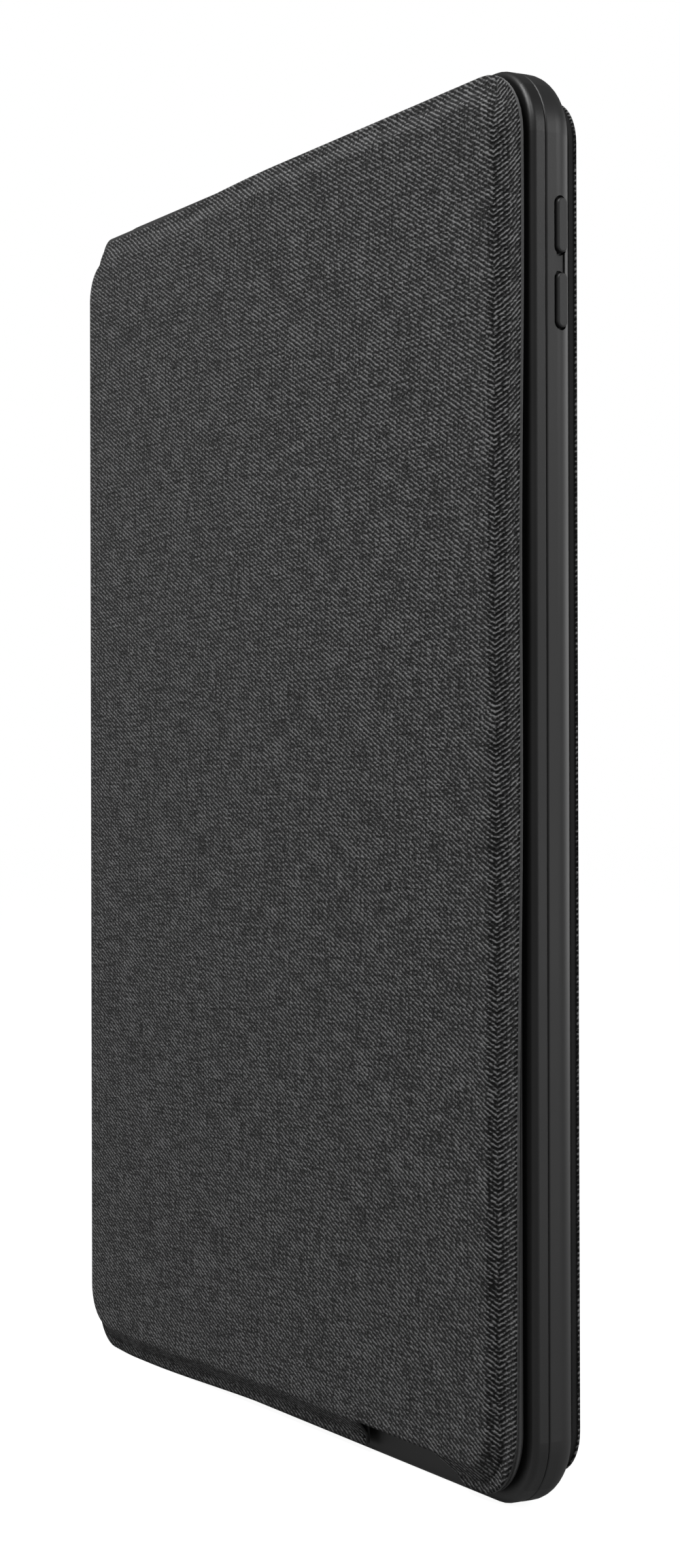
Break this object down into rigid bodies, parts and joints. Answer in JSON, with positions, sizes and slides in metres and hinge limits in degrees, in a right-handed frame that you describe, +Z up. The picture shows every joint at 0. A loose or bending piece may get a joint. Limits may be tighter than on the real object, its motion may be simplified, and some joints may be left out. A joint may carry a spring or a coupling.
{
  "type": "tablet keyboard case",
  "caption": "Folio case for a tablet: textile cover with a raised panel over a slim keyboard, folding spine, moulded tablet tray with side buttons and a fold-out stand leaf on its back.",
  "frame": {"origin": "bottom centre of the bounding box, under the tray's short edge on which the closed case stands", "axes": "+X towards the volume buttons, away from the spine; +Y towards the back panel; +Z up along the portrait height"},
  "size_m": [0.185, 0.0158, 0.2576],
  "materials": {
    "textile": "woven melange twill, charcoal with pale flecks",
    "lining": "brushed microfibre",
    "board": "stiff sheet",
    "tray_plastic": "satin moulded",
    "tray_soft": "satin soft-touch",
    "adhesive": "bonding pad",
    "magnet": "plated",
    "housing": "fine-grained",
    "keycap": "soft satin",
    "circuit": "solder mask",
    "membrane": "silicone",
    "cell": "foil pouch",
    "socket_metal": "plain",
    "light": "clear"
  },
  "bodies": {
    "tray": {"tray_wall": "tray_plastic", "tray_plate": "tray_plastic", "bumper_frame": "tray_soft", "tray_liner": "lining", "tray_magnets": "magnet", "adhesive_pad": "adhesive", "back_board": "board", "back_fabric": "textile"},
    "volume_up": {"volume_up_button": "tray_soft"},
    "volume_down": {"volume_down_button": "tray_soft"},
    "top_key": {"top_button": "tray_soft"},
    "stand_leaf": {"stand_board": "board", "stand_fabric": "textile", "stand_lining": "lining", "stand_magnets": "magnet", "camera_eyelet": "tray_soft"},
    "spine": {"spine_fabric": "textile", "spine_board": "board", "spine_lining": "lining"},
    "front_cover": {"front_fabric": "textile", "front_deck": "board", "rail_magnets": "magnet", "front_lining": "lining", "stand_rail": "tray_soft", "keyboard_base": "housing", "key_plate": "housing", "circuit_board": "circuit", "key_membrane": "membrane", "battery": "cell", "charging_socket": "socket_metal", "indicator_lights": "light", "screen_bumpers": "tray_soft", "closing_magnets": "magnet"},
    "power_switch": {"switch_knob": "housing"},
    "row_function": {"keys_function": "keycap"},
    "row_number": {"keys_number": "keycap"},
    "cap_backspace": {"key_backspace": "keycap"},
    "cap_tab": {"key_tab": "keycap"},
    "row_upper": {"keys_upper": "keycap"},
    "cap_caps": {"key_caps": "keycap"},
    "row_home": {"keys_home": "keycap"},
    "cap_enter": {"key_enter": "keycap"},
    "cap_shift_left": {"key_shift_left": "keycap"},
    "row_lower": {"keys_lower": "keycap"},
    "cap_shift_right": {"key_shift_right": "keycap"},
    "row_modifiers": {"keys_modifiers": "keycap"},
    "cap_space": {"key_space": "keycap"}
  },
  "joints": [
    {"name": "spine_fold", "type": "hinge", "parent": "tray", "child": "spine", "pos_m": [-0.09248, 0.00788, 0.1285], "axis": [0, 0, -1], "range_deg": [0, 90]},
    {"name": "cover_fold", "type": "hinge", "parent": "spine", "child": "front_cover", "pos_m": [-0.09248, -0.00558, 0.1285], "axis": [0, 0, -1], "range_deg": [0, 175]},
    {"name": "stand_fold", "type": "hinge", "parent": "tray", "child": "stand_leaf", "pos_m": [0.00537, 0.00788, 0.1285], "axis": [0, 0, 1], "range_deg": [0, 130]},
    {"name": "volume_up_press", "type": "slide", "parent": "tray", "child": "volume_up", "axis": [-1, 0, 0], "range_m": [0, 0.00035], "stiffness_N_per_m": 800},
    {"name": "volume_down_press", "type": "slide", "parent": "tray", "child": "volume_down", "axis": [-1, 0, 0], "range_m": [0, 0.00035], "stiffness_N_per_m": 800},
    {"name": "top_button_press", "type": "slide", "parent": "tray", "child": "top_key", "axis": [0, 0, -1], "range_m": [0, 0.00035], "stiffness_N_per_m": 800},
    {"name": "power_switch_slide", "type": "slide", "parent": "front_cover", "child": "power_switch", "axis": [1, 0, 0], "range_m": [0, 0.002]},
    {"name": "row_function_press", "type": "slide", "parent": "front_cover", "child": "row_function", "axis": [0, -1, 0], "range_m": [0, 0.00065], "stiffness_N_per_m": 500},
    {"name": "row_number_press", "type": "slide", "parent": "front_cover", "child": "row_number", "axis": [0, -1, 0], "range_m": [0, 0.00065], "stiffness_N_per_m": 500},
    {"name": "cap_backspace_press", "type": "slide", "parent": "front_cover", "child": "cap_backspace", "axis": [0, -1, 0], "range_m": [0, 0.00065], "stiffness_N_per_m": 500},
    {"name": "cap_tab_press", "type": "slide", "parent": "front_cover", "child": "cap_tab", "axis": [0, -1, 0], "range_m": [0, 0.00065], "stiffness_N_per_m": 500},
    {"name": "row_upper_press", "type": "slide", "parent": "front_cover", "child": "row_upper", "axis": [0, -1, 0], "range_m": [0, 0.00065], "stiffness_N_per_m": 500},
    {"name": "cap_caps_press", "type": "slide", "parent": "front_cover", "child": "cap_caps", "axis": [0, -1, 0], "range_m": [0, 0.00065], "stiffness_N_per_m": 500},
    {"name": "row_home_press", "type": "slide", "parent": "front_cover", "child": "row_home", "axis": [0, -1, 0], "range_m": [0, 0.00065], "stiffness_N_per_m": 500},
    {"name": "cap_enter_press", "type": "slide", "parent": "front_cover", "child": "cap_enter", "axis": [0, -1, 0], "range_m": [0, 0.00065], "stiffness_N_per_m": 500},
    {"name": "cap_shift_left_press", "type": "slide", "parent": "front_cover", "child": "cap_shift_left", "axis": [0, -1, 0], "range_m": [0, 0.00065], "stiffness_N_per_m": 500},
    {"name": "row_lower_press", "type": "slide", "parent": "front_cover", "child": "row_lower", "axis": [0, -1, 0], "range_m": [0, 0.00065], "stiffness_N_per_m": 500},
    {"name": "cap_shift_right_press", "type": "slide", "parent": "front_cover", "child": "cap_shift_right", "axis": [0, -1, 0], "range_m": [0, 0.00065], "stiffness_N_per_m": 500},
    {"name": "row_modifiers_press", "type": "slide", "parent": "front_cover", "child": "row_modifiers", "axis": [0, -1, 0], "range_m": [0, 0.00065], "stiffness_N_per_m": 500},
    {"name": "cap_space_press", "type": "slide", "parent": "front_cover", "child": "cap_space", "axis": [0, -1, 0], "range_m": [0, 0.00065], "stiffness_N_per_m": 500}
  ]
}
